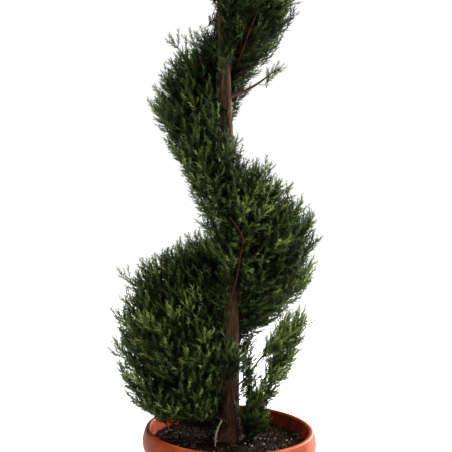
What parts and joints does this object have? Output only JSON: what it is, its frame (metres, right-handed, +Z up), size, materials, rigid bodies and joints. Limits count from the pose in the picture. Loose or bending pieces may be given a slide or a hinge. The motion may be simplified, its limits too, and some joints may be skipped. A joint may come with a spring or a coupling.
{
  "type": "potted spiral juniper topiary",
  "caption": "Juniper clipped into a coil that climbs clockwise round its bare trunk, in a round terracotta pot with a rolled rim.",
  "frame": {"origin": "centre of the pot's flat underside", "axes": "+Z up along the trunk, +X to the side where the broad middle lobe hangs, +Y to the back"},
  "size_m": [0.4495, 0.4252, 1.8721],
  "materials": {
    "terracotta": "matt fired clay",
    "potting_soil": "damp crumbs",
    "bark": "stringy shredding bark",
    "foliage": "fine scale leaves"
  },
  "bodies": {
    "root": {"pot": "terracotta", "soil": "potting_soil", "trunk": "bark", "mass_01_left": "foliage", "mass_02_back": "foliage", "mass_03_right": "foliage", "mass_04_front": "foliage", "mass_05_left": "foliage", "mass_06_back": "foliage", "mass_07_right": "foliage", "mass_08_front": "foliage", "mass_09_left": "foliage", "mass_10_back": "foliage", "mass_11_right": "foliage", "mass_12_front": "foliage", "mass_13_left": "foliage", "mass_14_back": "foliage", "bough_01_left": "bark", "bough_02_back": "bark", "bough_03_right": "bark", "bough_04_front": "bark", "bough_05_left": "bark", "bough_06_back": "bark", "bough_07_right": "bark", "bough_08_front": "bark", "bough_09_left": "bark", "bough_10_back": "bark", "bough_11_right": "bark", "bough_12_front": "bark", "bough_13_left": "bark", "bough_14_back": "bark", "plume_foot": "foliage", "plume_fan": "foliage", "plume_right": "foliage", "plume_front": "foliage", "plume_spur": "foliage", "bough_spur": "bark", "bough_foot": "bark", "bough_low_right": "bark", "bough_fan": "bark", "bough_low_front": "bark", "leader": "foliage", "plume_high_front": "foliage", "bough_high_front": "bark", "plume_gap": "foliage", "bough_gap": "bark", "plume_mid_front": "foliage", "bough_mid_front": "bark"}
  },
  "joints": []
}
